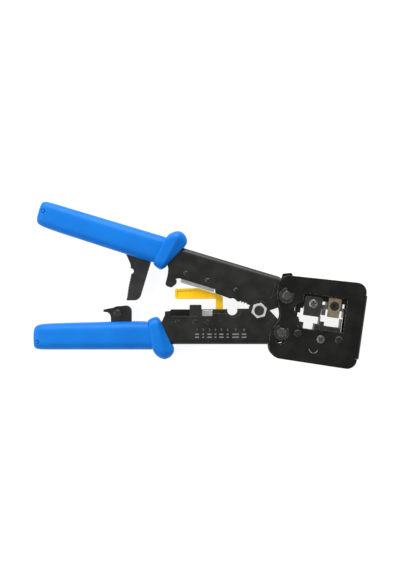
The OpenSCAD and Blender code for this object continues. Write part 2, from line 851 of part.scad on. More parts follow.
// Two cheeks and a floor that carry the guard's pin between the arm's walls.
module guard_block()
    color("#1f1f21") in_lower()
    difference() {
        slab(-lower_in + 0.1, lower_in - 0.1) rect(-28.4, -10.4, -20.9, 0.7);
        slab(-guard_half - 0.2, guard_half + 0.2) rect(-29, guard_at[1] - 3.2, -20, 2);
        rod(guard_at, guard_pin_r + run_fit, -half_t, half_t);
    }

module guard_pin()
    color("#77797e") in_lower() rod(guard_at, guard_pin_r, -lower_out, lower_out);

// The slider that sets how long the stripped end is. It rides on the front wall's edge.
module length_stop()
    color("#202022") in_lower() {
        slab(-lower_in + 0.1, lower_out) rounded_box(stop_x0, -3.35, stop_x0 + stop_len, 3.4, 0.5);
        slab(-lower_in + 0.1, lower_in - 0.1) rect(stop_x0, -5.5, stop_x0 + stop_len, -2.5);
    }

module upper_strip_blade()
    color("#c4c6ca") in_upper()
    slab(upper_in - blade_t, upper_in)
        difference() {
            polygon([[-51.4, 11.5], [-51.4, 2.9], [-50.6, 2.6], [-29.9, 2.6], [-29.9, 11.5]]);
            upper_rivets_at() circle(rivet_r + run_fit);
        }

module lower_strip_blade()
    color("#c4c6ca") in_lower()
    slab(lower_in - blade_t - 0.4, lower_in - 0.4)
        difference() {
            rect(stop_x0 + stop_len + 0.2, -9.5, -28.6, 0.1);
            lower_rivets_at() circle(rivet_r + run_fit);
        }

// The blade round the cable notch, held against the front wall.
module cable_blade()
    color("#b4b6bb") in_lower()
    slab(lower_in - blade_t, lower_in)
        difference() {
            rounded_box(-20.7, -9, -10.6, 0.9, 0.4);
            translate(cable_at) circle(cable_r);
        }

module upper_blade_rivets()
    color("#4a4b4f") in_upper()
    upper_rivets_at() {
        rod([0, 0], rivet_r, upper_in - blade_t, upper_out);
        rod([0, 0], rivet_r + 0.2, upper_out, upper_out + head_step / 2);
    }

module lower_blade_rivets()
    color("#4a4b4f") in_lower()
    lower_rivets_at() {
        rod([0, 0], rivet_r, lower_in - 0.4, lower_out);
        rod([0, 0], rivet_r + 0.2, lower_out, lower_out + head_step);
    }

// The pad in the upper arm's foot, where the arms would meet.
module stop_pad()
    color("#5a4a3c") in_upper()
    slab(-upper_in, upper_in)
        rounded(
            [
                [-collar_x + 1.6, -1.6], [-collar_x + 4.6, -1.9],
                [-collar_x + 6.6, 1.2], [-collar_x + 6, 3.6], [-collar_x + 2, 4]
            ],
            [0.8, 1.2, 1.2, 0.8, 0.6]
        );

lower_arm();
upper_arm();
lower_grip();
upper_grip();
pivot_bolt();
pivot_nut();
return_spring();
head_housing();
die_jaw();
die_8p();
die_6p();
contact_blades_8p();
contact_blades_6p();
trim_blade_8p();
trim_blade_6p();
trim_screw_8p();
trim_screw_6p();
nest_8p();
nest_6p();
nest_rivets();
nest_screw();
upper_pin();
lower_pin();
upper_clips();
lower_clips();
ratchet_rack();
rack_rivets();
pawl_bracket();
bracket_rivets();
pawl();
pawl_rivet();
pawl_spring();
blade_guard();
guard_block();
guard_pin();
length_stop();
upper_strip_blade();
lower_strip_blade();
cable_blade();
upper_blade_rivets();
lower_blade_rivets();
stop_pad();
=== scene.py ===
import math

import bmesh
import bpy
from mathutils import Matrix, Vector


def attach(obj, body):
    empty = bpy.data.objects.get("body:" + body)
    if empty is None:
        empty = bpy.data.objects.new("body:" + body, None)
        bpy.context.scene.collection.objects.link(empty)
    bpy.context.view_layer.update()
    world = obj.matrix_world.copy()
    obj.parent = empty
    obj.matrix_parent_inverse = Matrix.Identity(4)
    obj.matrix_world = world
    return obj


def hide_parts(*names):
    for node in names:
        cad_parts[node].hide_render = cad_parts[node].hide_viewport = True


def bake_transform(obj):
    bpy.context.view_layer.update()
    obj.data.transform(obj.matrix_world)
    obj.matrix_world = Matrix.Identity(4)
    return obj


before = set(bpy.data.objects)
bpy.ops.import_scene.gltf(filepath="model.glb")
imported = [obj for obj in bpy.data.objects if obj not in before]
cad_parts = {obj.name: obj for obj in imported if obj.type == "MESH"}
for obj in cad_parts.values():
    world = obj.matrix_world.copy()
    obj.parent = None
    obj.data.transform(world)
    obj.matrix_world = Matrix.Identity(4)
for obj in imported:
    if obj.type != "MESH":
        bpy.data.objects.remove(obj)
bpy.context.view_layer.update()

# ---- bench, light and camera ------------------------------------------------------------------
# The tool lies on its back on a plain white bench top, under one large soft lamp at the handles' outer
# side and a weaker one at the grips' end. The camera looks straight down and is turned with the lower arm.
MM = 0.001
LOWER_LEAN = math.radians(8.05)
BENCH_REACH = 3.0
VIEW_CENTRE = Vector((-38.1, 10.4, 24.4)) * MM
VIEW_LONG_SIDE = 348.8 * MM
VIEW_DISTANCE = 1300 * MM

scene = bpy.context.scene
scene.view_settings.view_transform = "Standard"
collection = scene.collection


def place_lamp(name, at, size, power):
    lamp = bpy.data.lights.new(name, "AREA")
    lamp.size = size
    lamp.energy = power
    holder = bpy.data.objects.new(name, lamp)
    holder.location = at
    holder.rotation_euler = (VIEW_CENTRE - Vector(at)).to_track_quat("-Z", "Y").to_euler()
    collection.objects.link(holder)


place_lamp("lamp_over_handles", (-0.12, 0.72, 0.42), 0.60, 7.0)
place_lamp("lamp_at_grips", (-0.55, -0.10, 0.50), 0.60, 2.6)
world = bpy.data.worlds.new("room")
world.use_nodes = True
world.node_tree.nodes["Background"].inputs["Color"].default_value = (1, 1, 1, 1)
world.node_tree.nodes["Background"].inputs["Strength"].default_value = 0.44
scene.world = world

bench_mesh = bpy.data.meshes.new("bench_top")
bench_corners = [(x * BENCH_REACH, y * BENCH_REACH, 0) for x, y in ((-1, -1), (1, -1), (1, 1), (-1, 1))]
bench_mesh.from_pydata(bench_corners, [], [(0, 1, 2, 3)])
bench = bpy.data.objects.new("bench_top", bench_mesh)
collection.objects.link(bench)
bench_paint = bpy.data.materials.new("bench_paint")
bench_paint.use_nodes = True
paint = bench_paint.node_tree.nodes["Principled BSDF"]
paint.inputs["Base Color"].default_value = (0.30, 0.30, 0.30, 1)
paint.inputs["Roughness"].default_value = 0.8
paint.inputs["Specular IOR Level"].default_value = 0.1
paint.inputs["Emission Color"].default_value = (1, 1, 1, 1)
paint.inputs["Emission Strength"].default_value = 0.88
bench_mesh.materials.append(bench_paint)

camera_data = bpy.data.cameras.new("camera")
camera_data.sensor_width = 36
camera_data.lens = camera_data.sensor_width * VIEW_DISTANCE / VIEW_LONG_SIDE
camera = bpy.data.objects.new("camera", camera_data)
camera.location = VIEW_CENTRE + Vector((0, 0, VIEW_DISTANCE))
camera.rotation_euler = (0, 0, LOWER_LEAN)
collection.objects.link(camera)
scene.camera = camera

# ---- black-coated sheet steel -------------------------------------------------------------------
# Both arms and the head are punched and folded from steel sheet, and the moving jaw is cut from plate. All
# are coated black. The coat is satin with a fine grain, and is rubbed a little brighter along its edges.


def finish(name, colour, second, roughness, metallic=0.0, specular=0.5, patch=6 * MM, grain=0.45 * MM,
           bump=0.02 * MM, rounding=0.25 * MM, worn=None, worn_share=0.5):
    material = bpy.data.materials.new(name)
    material.use_nodes = True
    nodes, links = material.node_tree.nodes, material.node_tree.links
    shader = nodes["Principled BSDF"]
    shader.inputs["Metallic"].default_value = metallic
    shader.inputs["Specular IOR Level"].default_value = specular
    place = nodes.new("ShaderNodeTexCoord")

    def noise(size, detail):
        texture = nodes.new("ShaderNodeTexNoise")
        texture.inputs["Scale"].default_value = 1 / size
        texture.inputs["Detail"].default_value = detail
        links.new(place.outputs["Object"], texture.inputs["Vector"])
        return texture.outputs["Fac"]

    def span(source, low, high, to_low=0.0, to_high=1.0):
        stretch = nodes.new("ShaderNodeMapRange")
        for socket, value in zip(stretch.inputs[1:5], (low, high, to_low, to_high)):
            socket.default_value = value
        links.new(source, stretch.inputs[0])
        return stretch.outputs[0]

    def blend_colours(factor, first, other):
        mix = nodes.new("ShaderNodeMix")
        mix.data_type = "RGBA"
        links.new(factor, mix.inputs[0])
        for socket, value in ((mix.inputs[6], first), (mix.inputs[7], other)):
            if isinstance(value, tuple):
                socket.default_value = (*value, 1)
            else:
                links.new(value, socket)
        return mix.outputs[2]

    def multiply(first, other):
        maths = nodes.new("ShaderNodeMath")
        maths.operation = "MULTIPLY"
        links.new(first, maths.inputs[0])
        if isinstance(other, float):
            maths.inputs[1].default_value = other
        else:
            links.new(other, maths.inputs[1])
        return maths.outputs[0]

    shade = blend_colours(span(noise(patch, 4), 0.36, 0.64), colour, second)
    fine = noise(grain, 3)
    eased = nodes.new("ShaderNodeBevel")
    eased.samples = 4
    eased.inputs["Radius"].default_value = rounding
    if worn:
        surface = nodes.new("ShaderNodeNewGeometry")
        turn = nodes.new("ShaderNodeVectorMath")
        turn.operation = "DOT_PRODUCT"
        links.new(eased.outputs["Normal"], turn.inputs[0])
        links.new(surface.outputs["Normal"], turn.inputs[1])
        edge = span(turn.outputs["Value"], 0.985, 0.80)
        rubbed = multiply(multiply(edge, span(noise(1.6 * MM, 3), 0.40, 0.62)), worn_share)
        shade = blend_colours(rubbed, shade, worn)
    links.new(shade, shader.inputs["Base Color"])
    links.new(span(fine, 0.3, 0.7, roughness - 0.06, roughness + 0.06), shader.inputs["Roughness"])
    relief = nodes.new("ShaderNodeBump")
    relief.inputs["Distance"].default_value = bump
    relief.inputs["Strength"].default_value = 1.0
    links.new(fine, relief.inputs["Height"])
    links.new(eased.outputs["Normal"], relief.inputs["Normal"])
    links.new(relief.outputs["Normal"], shader.inputs["Normal"])
    return material


def dress(names, material):
    for name in names:
        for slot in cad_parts[name].material_slots:
            slot.material = material


black_coat = finish(
    "black_coat", (0.004, 0.004, 0.004), (0.016, 0.0155, 0.013), 0.36, specular=0.40, patch=9 * MM,
    bump=0.012 * MM, rounding=0.4 * MM, worn=(0.16, 0.155, 0.14), worn_share=0.75,
)
head_coat = finish(
    "head_coat", (0.003, 0.003, 0.003), (0.011, 0.011, 0.009), 0.38, specular=0.24, patch=11 * MM,
    bump=0.012 * MM, rounding=0.55 * MM, worn=(0.30, 0.29, 0.26), worn_share=0.9,
)
dress(["lower_arm", "upper_arm"], black_coat)
dress(["head_housing", "die_jaw"], head_coat)

# ---- soft grips -----------------------------------------------------------------------------------
# Each grip is a sleeve of soft blue vinyl, moulded in one piece and pushed over the steel. It ends at the
# head in a leaning collar with a thick rim, which stops the hand. The sleeve is open inside.
blue_vinyl = finish(
    "blue_vinyl", (0.0, 0.160, 0.620), (0.0, 0.185, 0.680), 0.46, specular=0.22, patch=14 * MM,
    grain=0.5 * MM, bump=0.018 * MM, rounding=0.35 * MM,
)
UPPER_LEAN = math.radians(-8.65)
MIDDLE = 12.2 * MM
CORNER_STEPS = 6
SIDE_STEPS = 3


def frame_of(lean):
    """From millimetres in an arm's own frame to metres in the tool's."""
    return Matrix.Translation((0, 0, MIDDLE)) @ Matrix.Rotation(lean, 4, "Z") @ Matrix.Scale(MM, 4)


LOWER = frame_of(LOWER_LEAN)
UPPER = frame_of(UPPER_LEAN)


def sleeve_ring(inner, outer, half_width, corner):
    """One ring of points round the sleeve, on a line from its inner to its outer side."""
    centre = (inner + outer) / 2
    along = (inner - outer).normalized()
    half_height = (inner - outer).length / 2
    corner = min(corner, half_height * 0.98, half_width * 0.98)
    ring = []
    for turn, (side_a, side_b) in enumerate([(1, 1), (-1, 1), (-1, -1), (1, -1)]):
        middle_a = side_a * (half_height - corner)
        middle_b = side_b * (half_width - corner)
        start = turn * math.pi / 2
        for step in range(CORNER_STEPS + 1):
            angle = start + step / CORNER_STEPS * math.pi / 2
            ring.append((middle_a + corner * math.cos(angle), middle_b + corner * math.sin(angle)))
    filled = []
    for index, point in enumerate(ring):
        after = ring[(index + 1) % len(ring)]
        filled.append(point)
        if (index + 1) % (CORNER_STEPS + 1) == 0:
            for step in range(1, SIDE_STEPS):
                share = step / SIDE_STEPS
                filled.append(tuple(here + (there - here) * share for here, there in zip(point, after)))
    return [Vector((centre.x + along.x * a, centre.y + along.y * a, b)) for a, b in filled]


def arc_row(shape, centre, radius, height, angles):
    """Points at one height, on an arc round the centre."""
    return [
        shape.verts.new((centre[0] + radius * math.cos(angle), centre[1] + radius * math.sin(angle), height))
        for angle in angles
    ]


def whole_circle(steps):
    return [2 * math.pi * step / steps for step in range(steps)]


def bridge(shape, one, other, steps):
    """A band of faces between two rows of points. A row of a single point closes the band."""
    for step in range(steps):
        after = step + 1
        corners = [
            one[step % len(one)], one[after % len(one)], other[after % len(other)], other[step % len(other)],
        ]
        shape.faces.new(list(dict.fromkeys(corners)))


def make_piece(name, shape):
    """A new piece from a closed shape, with its faces pointing out."""
    bmesh.ops.recalc_face_normals(shape, faces=shape.faces)
    mesh = bpy.data.meshes.new(name)
    shape.to_mesh(mesh)
    shape.free()
    piece = bpy.data.objects.new(name, mesh)
    collection.objects.link(piece)
    return piece


def prism(name, outline, half_width):
    """A flat outline made solid, as wide each side of the middle plane as half_width says."""
    shape = bmesh.new()
    base = [shape.verts.new((x, y, -half_width)) for x, y in outline]
    face = shape.faces.new(base)
    raised = bmesh.ops.extrude_face_region(shape, geom=[face])
    top = [item for item in raised["geom"] if isinstance(item, bmesh.types.BMVert)]
    bmesh.ops.translate(shape, verts=top, vec=(0, 0, 2 * half_width))
    return make_piece(name, shape)


def settle(piece):
    """Turns a piece's modifiers into plain mesh and takes them off."""
    bpy.context.view_layer.update()
    evaluated = piece.evaluated_get(bpy.context.evaluated_depsgraph_get())
    mesh = bpy.data.meshes.new_from_object(evaluated)
    piece.modifiers.clear()
    piece.data = mesh


def cut_away(piece, cutter):
    cut = piece.modifiers.new("cut", "BOOLEAN")
    cut.operation = "DIFFERENCE"
    cut.solver = "EXACT"
    cut.object = cutter
    settle(piece)
    bpy.data.objects.remove(cutter)


def smooth_faces(piece, sharp_degrees):
    for polygon in piece.data.polygons:
        polygon.use_smooth = True
    piece.data.set_sharp_from_angle(angle=math.radians(sharp_degrees))


def give_material(piece, material):
    piece.data.materials.clear()
    piece.data.materials.append(material)


# Rings from the closed end to the collar's mouth. Each has its place at the inner and at the outer side,
# as (along the arm from the pivot, height above the web), then half its width and its corner's radius.
COLLAR_RINGS = [
    ((-73.0, 14.0), (-70.5, -3.3), 11.2, 5.2),
    ((-69.4, 14.0), (-66.2, -3.35), 11.15, 5.0),
    ((-68.8, 13.7), (-65.6, -3.1), 10.8, 4.8),
    ((-68.4, 13.9), (-65.2, -3.4), 11.1, 4.6),
    ((-68.0, 14.9), (-64.8, -4.7), 11.95, 4.6),
    ((-67.6, 15.3), (-64.3, -5.5), 12.1, 4.6),
    ((-66.0, 16.2), (-62.2, -7.8), 12.15, 5.0),
    ((-63.9, 16.8), (-59.5, -9.1), 12.15, 5.4),
    ((-62.9, 16.85), (-57.8, -9.3), 12.15, 5.6),
    ((-62.5, 16.6), (-56.9, -9.1), 11.9, 5.4),
    ((-61.3, 15.5), (-54.3, -8.0), 10.4, 4.6),
    ((-60.5, 14.3), (-52.5, -5.4), 9.3, 3.2),
    ((-60.2, 13.7), (-52.1, -3.9), 8.95, 2.6),
    ((-60.3, 12.9), (-52.6, -1.2), 8.6, 2.4),
]
SLEEVE_WALL_END = 4.9
STEEL_TAIL = 11.3
STEEL_WEB = 0.1
PAST_MOUTH = -45
GATE_MARK_RADII = (0.8, 1.35)
GATE_MARK_FLOOR = 10.3
# A cutter reaches this far, past the sleeve's surface.
CLEAR = 20


def gate_mark_cutter(along, height):
    """A short tube that presses the moulding's gate mark into the front of a sleeve."""
    shape = bmesh.new()
    circle = whole_circle(24)
    in_low, in_high, out_low, out_high = [
        arc_row(shape, (along, height), radius, level, circle)
        for radius in GATE_MARK_RADII for level in (GATE_MARK_FLOOR, CLEAR)
    ]
    for one, other in ((in_low, in_high), (in_high, out_high), (out_high, out_low), (out_low, in_low)):
        bridge(shape, one, other, len(circle))
    return make_piece("gate_mark", shape)


def make_sleeve(name, place, reach, shift, outer_side, inwards, steel_half, slot, slot_half, mark):
    """A sleeve that ends at reach from the pivot. Its slot lets the ratchet's part out on the inner side."""
    end = -reach
    rings = [
        ((end + 0.05, 6.6), (end, 1.8), 6.0, 2.4),
        ((end + 0.15, 9.0), (end + 0.10, -0.9), 8.9, 3.4),
        ((end + 1.0, 11.0), (end + 0.9, -2.4), 10.3, 4.4),
        ((end + 2.8, 12.0), (end + 2.6, -3.1), 11.1, 4.5),
        ((end + 6.0, 12.6), (end + 6.0, -3.3), 11.25, 4.5),
        ((end + 16.0, 13.0), (end + 16.0, -3.3), 11.25, 4.8),
        ((end + 30.0, 13.3), (end + 30.0, -3.3), 11.2, 5.2),
        ((-92.0, 13.8), (-91.0, -3.3), 11.2, 5.2),
        ((-80.0, 14.0), (-78.5, -3.3), 11.2, 5.2),
    ]
    rings += [((a[0] - shift, a[1]), (b[0] - shift, b[1]), c, d) for a, b, c, d in COLLAR_RINGS]
    shape = bmesh.new()
    loops = []
    for inner, outer, half_width, corner in rings:
        points = sleeve_ring(Vector(inner), Vector(outer), half_width, corner)
        loops.append([shape.verts.new(point) for point in points])
    for before, after in zip(loops, loops[1:]):
        bridge(shape, before, after, len(before))
    for loop in (loops[0], loops[-1]):
        centre = shape.verts.new(sum((vert.co for vert in loop), Vector()) / len(loop))
        bridge(shape, loop, [centre], len(loop))
    sleeve = make_piece(name, shape)
    smoother = sleeve.modifiers.new("smooth", "SUBSURF")
    smoother.levels = smoother.render_levels = 2
    settle(sleeve)
    hollow = [
        (end + SLEEVE_WALL_END, STEEL_WEB), (PAST_MOUTH, STEEL_WEB), (PAST_MOUTH, CLEAR),
        (-58.0 - shift, 17.9), (-60.4 - shift, 12.8), (-62.1 - shift, STEEL_TAIL),
        (end + SLEEVE_WALL_END, STEEL_TAIL),
    ]
    cut_away(sleeve, prism("hollow", hollow, steel_half))
    slot_outline = [(slot[0], 10), (slot[1], 10), (slot[1], CLEAR), (slot[0], CLEAR)]
    cut_away(sleeve, prism("slot", slot_outline, slot_half))
    cut_away(sleeve, gate_mark_cutter(end + mark[0], mark[1]))
    # The heights above the web become the arm's own Y, and the sizes become metres.
    to_arm = Matrix.Translation((0, outer_side, 0)) @ Matrix.Diagonal((1, inwards, 1, 1))
    sleeve.data.transform(place @ to_arm)
    if inwards < 0:
        sleeve.data.flip_normals()
    give_material(sleeve, blue_vinyl)
    smooth_faces(sleeve, 40)
    return sleeve


lower_sleeve = make_sleeve(
    "lower_sleeve", LOWER, reach=138.7, shift=0.0, outer_side=-20.8, inwards=1,
    steel_half=8.9, slot=(-92.5, -70.3), slot_half=5.4, mark=(2.5, 1.5),
)
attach(lower_sleeve, "lower_arm")
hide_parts("lower_grip")
upper_sleeve = make_sleeve(
    "upper_sleeve", UPPER, reach=147.3, shift=2.2, outer_side=23.5, inwards=-1,
    steel_half=6.9, slot=(-89.6, -71.3), slot_half=3.0, mark=(2.9, 3.0),
)
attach(upper_sleeve, "upper_arm")
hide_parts("upper_grip")

# ---- main pivot -------------------------------------------------------------------------------------
# A steel bolt joins the arms, and a plated hexagon nut closes it at the front. A torsion spring of wire
# is wound round the bolt inside the arms, with one straight leg against each arm's web.
dark_oxide = finish(
    "dark_oxide", (0.012, 0.012, 0.013), (0.022, 0.022, 0.021), 0.40, specular=0.45, patch=2 * MM,
    worn=(0.22, 0.22, 0.21), worn_share=0.8,
)
white_zinc = finish(
    "white_zinc", (0.78, 0.78, 0.79), (0.88, 0.88, 0.88), 0.34, metallic=0.75, patch=2 * MM, bump=0.006 * MM,
    rounding=0.3 * MM,
)
spring_wire = finish(
    "spring_wire", (0.40, 0.40, 0.41), (0.52, 0.52, 0.52), 0.34, metallic=1.0, patch=2 * MM, bump=0.004 * MM,
)
dress(["pivot_bolt"], dark_oxide)
dress(["pivot_nut"], white_zinc)


def make_tree(name, sizes):
    """An empty node tree with a named input for each size, of the kind that the size is given with."""
    tree = bpy.data.node_groups.new(name, "GeometryNodeTree")
    tree.interface.new_socket("Geometry", in_out="INPUT", socket_type="NodeSocketGeometry")
    tree.interface.new_socket("Geometry", in_out="OUTPUT", socket_type="NodeSocketGeometry")
    for label, kind in sizes.items():
        tree.interface.new_socket(label, in_out="INPUT", socket_type="NodeSocket" + kind)
    return tree, tree.nodes.new("NodeGroupInput")


def add_node(tree, kind, settings=None, **plugs):
    """One node, whose inputs are values or other nodes' outputs."""
    node = tree.nodes.new(kind)
    for key, value in (settings or {}).items():
        setattr(node, key, value)
    for key, value in plugs.items():
        socket = node.inputs[key.replace("_", " ")]
        if isinstance(value, bpy.types.NodeSocket):
            tree.links.new(value, socket)
        else:
            socket.default_value = value
    return node


def close_tree(tree, shape, material):
    """Makes the tree's copies real, gives them their material and sends them out."""
    real = add_node(tree, "GeometryNodeRealizeInstances", Geometry=shape)
    painted = add_node(tree, "GeometryNodeSetMaterial", Geometry=real.outputs[0], Material=material)
    tree.links.new(painted.outputs[0], tree.nodes.new("NodeGroupOutput").inputs[0])


def grow(name, points, tree, sizes, point_values=None):
    """A piece that the tree makes from these points, turned into plain mesh."""
    mesh = bpy.data.meshes.new(name)
    mesh.from_pydata([tuple(point) for point in points], [], [])
    for label, values in (point_values or {}).items():
        mesh.attributes.new(label, "FLOAT", "POINT").data.foreach_set("value", values)
    piece = bpy.data.objects.new(name, mesh)
    collection.objects.link(piece)
    growth = piece.modifiers.new("growth", "NODES")
    growth.node_group = tree
    for socket in tree.interface.items_tree:
        if socket.item_type == "SOCKET" and socket.in_out == "INPUT" and socket.name in sizes:
            growth[socket.identifier] = sizes[socket.name]
    settle(piece)
    return piece


SPRING_SIZES = {
    "Turn Radius": "Float", "Wire Radius": "Float", "Turns": "Float", "Height": "Float",
    "Start Angle": "Float", "First Leg Root": "Vector", "First Leg End": "Vector",
    "Last Leg Root": "Vector", "Last Leg End": "Vector", "Bottom": "Vector",
}


def spring_tree(material):
    tree, sizes = make_tree("wound_wire", SPRING_SIZES)
    size = sizes.outputs
    coil = add_node(
        tree, "GeometryNodeCurveSpiral", Resolution=40, Rotations=size["Turns"], Height=size["Height"],
        Start_Radius=size["Turn Radius"], End_Radius=size["Turn Radius"],
    )
    turn = add_node(tree, "ShaderNodeCombineXYZ", Z=size["Start Angle"])
    stood = add_node(
        tree, "GeometryNodeTransform", Geometry=coil.outputs[0], Rotation=turn.outputs[0],
        Translation=size["Bottom"],
    )
    legs = [
        add_node(tree, "GeometryNodeCurvePrimitiveLine", Start=size[leg + " Root"], End=size[leg + " End"])
        for leg in ("First Leg", "Last Leg")
    ]
    joined = tree.nodes.new("GeometryNodeJoinGeometry")
    for part in (stood, *legs):
        tree.links.new(part.outputs[0], joined.inputs[0])
    section = add_node(tree, "GeometryNodeCurvePrimitiveCircle", Resolution=14, Radius=size["Wire Radius"])
    wire = add_node(
        tree, "GeometryNodeCurveToMesh", Curve=joined.outputs[0], Profile_Curve=section.outputs[0],
        Fill_Caps=True,
    )
    close_tree(tree, wire.outputs[0], material)
    return tree


def spring_sizes(turn_r, wire_r, whole_turns, bottom, top, first, last):
    """Each leg is its frame, the way it points and its length. Both leave the coil smoothly."""
    legs = []
    for place, (dx, dy), length, side in (first + (1,), last + (-1,)):
        root = Vector((-dy * turn_r * side, dx * turn_r * side, 0))
        root.z = bottom if side == 1 else top
        legs.append((place @ root, place @ (root + Vector((dx, dy, 0)) * length)))
    centre = first[0] @ Vector((0, 0, bottom))
    angles = [math.atan2(root.y - centre.y, root.x - centre.x) for root, _ in legs]
    part_turn = ((angles[1] - angles[0]) / (2 * math.pi)) % 1
    return {
        "Turn Radius": turn_r * MM, "Wire Radius": wire_r * MM, "Turns": whole_turns + part_turn,
        "Height": (top - bottom) * MM, "Start Angle": angles[0], "Bottom": centre,
        "First Leg Root": legs[0][0], "First Leg End": legs[0][1],
        "Last Leg Root": legs[1][0], "Last Leg End": legs[1][1],
    }


wound_wire = spring_tree(spring_wire)
COIL_HALF = 3.0
arm_spring = grow("arm_spring", [], wound_wire, spring_sizes(
    turn_r=4.35, wire_r=0.68, whole_turns=4, bottom=-COIL_HALF, top=COIL_HALF,
    first=(LOWER, (-0.799, -0.602), 20.5), last=(UPPER, (-0.743, 0.669), 20.5),
))
smooth_faces(arm_spring, 40)
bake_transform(arm_spring)
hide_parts("return_spring")

# ---- link pins and their clips ----------------------------------------------------------------------
# A turned steel pin joins each arm's ear to the head. A spring clip is snapped into the groove near each
# end of each pin, and its rims are rubbed bright where the pliers held it.
pin_steel = finish(
    "pin_steel", (0.050, 0.050, 0.049), (0.085, 0.085, 0.082), 0.42, metallic=0.5, patch=1.6 * MM,
    bump=0.015 * MM, rounding=0.5 * MM, worn=(0.50, 0.50, 0.48), worn_share=1.0,
)
clip_steel = finish(
    "clip_steel", (0.020, 0.020, 0.019), (0.036, 0.036, 0.034), 0.36, metallic=0.4, patch=1.6 * MM,
    bump=0.01 * MM, rounding=0.5 * MM, worn=(0.50, 0.49, 0.45), worn_share=1.0,
)
dress(["upper_pin", "lower_pin"], pin_steel)
dress(["upper_clips", "lower_clips"], clip_steel)

# ---- dies and their blades --------------------------------------------------------------------------
# The moving jaw carries two hardened dies. Thin steel blades in them press the plug's contacts down, and
# a trimming blade lies on the front of each. The small plug's blade is annealed to a straw colour.
die_steel = finish(
    "die_steel", (0.10, 0.10, 0.10), (0.16, 0.16, 0.155), 0.40, metallic=0.8, patch=3 * MM, bump=0.01 * MM,
    worn=(0.45, 0.45, 0.44),
)
satin_blade = finish(
    "satin_blade", (0.024, 0.024, 0.023), (0.036, 0.036, 0.035), 0.36, metallic=0.35, patch=3 * MM,
    bump=0.008 * MM, rounding=0.3 * MM, worn=(0.24, 0.24, 0.23), worn_share=0.8,
)
straw_blade = finish(
    "straw_blade", (0.185, 0.155, 0.085), (0.25, 0.215, 0.125), 0.42, metallic=0.35, patch=2.5 * MM,
    bump=0.01 * MM, worn=(0.45, 0.40, 0.28),
)
ground_steel = finish(
    "ground_steel", (0.60, 0.60, 0.60), (0.72, 0.72, 0.71), 0.32, metallic=0.85, patch=3 * MM,
    bump=0.006 * MM,
)
dress(["die_8p", "die_6p"], die_steel)
dress(["contact_blades_8p", "contact_blades_6p"], ground_steel)
dress(["trim_blade_8p"], satin_blade)
dress(["trim_blade_6p"], straw_blade)

# ---- screws in the head -----------------------------------------------------------------------------
# Three cross-recessed screws: a domed one and a countersunk one hold the trimming blades, and a domed one
# draws the nests together. They are turned from bar, and the recess is pressed in with a tapered punch.
HEAD_AT = 15.464
HEAD = Matrix.Translation((HEAD_AT * MM, 0, MIDDLE)) @ Matrix.Scale(MM, 4)
screw_steel = finish(
    "screw_steel", (0.16, 0.16, 0.16), (0.24, 0.24, 0.24), 0.30, metallic=0.85, patch=1.5 * MM,
    bump=0.008 * MM, rounding=0.2 * MM, worn=(0.75, 0.75, 0.74), worn_share=0.9,
)
black_screw = finish(
    "black_screw", (0.012, 0.012, 0.012), (0.022, 0.022, 0.021), 0.36, metallic=0.3, patch=1.5 * MM,
    bump=0.008 * MM, rounding=0.2 * MM, worn=(0.22, 0.21, 0.19), worn_share=0.9,
)
RECESS_TAPER = 0.45
RECESS_FLARE = 1.15
RECESS_DEPTH = 1.3
WING_SHARE = 0.24
ROUND_STEPS = 48


def turned(name, profile):
    """A solid of revolution from (radius, height) pairs that start and end on the axis."""
    shape = bmesh.new()
    circle = whole_circle(ROUND_STEPS)
    rows = [
        arc_row(shape, (0, 0), radius, height, circle if radius else [0.0]) for radius, height in profile
    ]
    for below, above in zip(rows, rows[1:]):
        bridge(shape, below, above, ROUND_STEPS)
    return make_piece(name, shape)


def cross_punch(radius, top, turn):
    """The tapered cross that is pressed into a screw's head."""
    wing = radius * WING_SHARE
    outline = []
    for quarter in range(4):
        angle = math.radians(turn + 90 * quarter)
        for across, beside in ((radius, -wing), (radius, wing), (wing, wing)):
            outline.append((
                across * math.cos(angle) - beside * math.sin(angle),
                across * math.sin(angle) + beside * math.cos(angle),
            ))
    shape = bmesh.new()
    low = [shape.verts.new((x * RECESS_TAPER, y * RECESS_TAPER, top - RECESS_DEPTH)) for x, y in outline]
    high = [shape.verts.new((x * RECESS_FLARE, y * RECESS_FLARE, top + 0.3)) for x, y in outline]
    shape.faces.new(low)
    shape.faces.new(high)
    bridge(shape, low, high, len(outline))
    return make_piece("punch", shape)


def make_screw(name, node, body, at, profile, recess, turn, material):
    screw = turned(name, profile)
    cut_away(screw, cross_punch(recess, profile[-1][1], turn))
    screw.data.transform(HEAD @ Matrix.Translation((*at, 0)))
    give_material(screw, material)
    smooth_faces(screw, 35)
    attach(screw, body)
    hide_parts(node)


make_screw(
    "blade_screw_large", "trim_screw_8p", "jaw", (17.0, 8.6),
    [
        (0, 0.5), (1.4, 0.5), (1.4, 10.4), (2.8, 10.4), (2.9, 10.55), (2.7, 10.9), (2.1, 11.15), (1.2, 11.28),
        (0, 11.3),
    ],
    recess=1.7, turn=12, material=screw_steel,
)
make_screw(
    "blade_screw_small", "trim_screw_6p", "jaw", (30.0, 9.0),
    [(0, 0.5), (1.4, 0.5), (1.4, 9.5), (2.75, 10.3), (2.75, 10.4), (0, 10.4)],
    recess=1.5, turn=35, material=black_screw,
)
make_screw(
    "nest_clamp_screw", "nest_screw", "housing", (24.3, -12.3),
    [(0, -10.8), (1.4, -10.8), (1.4, 11.2), (2.5, 11.2), (2.6, 11.35), (2.4, 11.7), (1.7, 11.93), (0, 12.0)],
    recess=1.75, turn=52, material=screw_steel,
)

